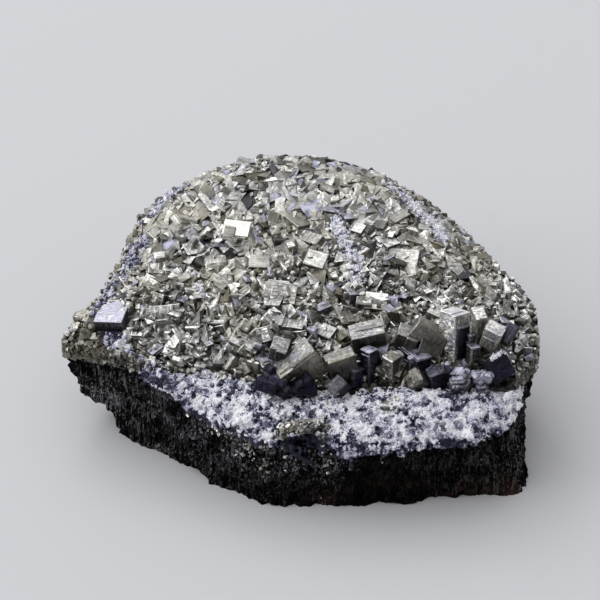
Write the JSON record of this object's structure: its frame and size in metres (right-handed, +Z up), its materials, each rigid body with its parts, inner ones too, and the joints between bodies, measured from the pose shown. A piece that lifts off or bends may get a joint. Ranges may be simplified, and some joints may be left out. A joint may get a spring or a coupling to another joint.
{
  "type": "pyrite specimen",
  "caption": "Hand-sized mineral specimen: a domed crust of intergrown pyrite cubes on a dark flat-based plate, with a white quartz band on its front ledge.",
  "frame": {"origin": "middle of the flat underside that the specimen rests on", "axes": "+X along the longest side, to the viewer's right; +Y away from the viewer, towards the domed back; +Z up"},
  "size_m": [0.1103, 0.0997, 0.0398],
  "materials": {
    "dark_matrix": "near-black massive sulphide, fibrous, with small metallic glints and rust stains",
    "white_quartz": "sugary white to pale lavender quartz",
    "pyrite": "metallic pale grey-brass crystal faces, finely striated"
  },
  "bodies": {
    "root": {"matrix": "dark_matrix", "quartz_band": "white_quartz", "pyrite_crust": "pyrite", "front_cluster": "pyrite"}
  },
  "joints": []
}
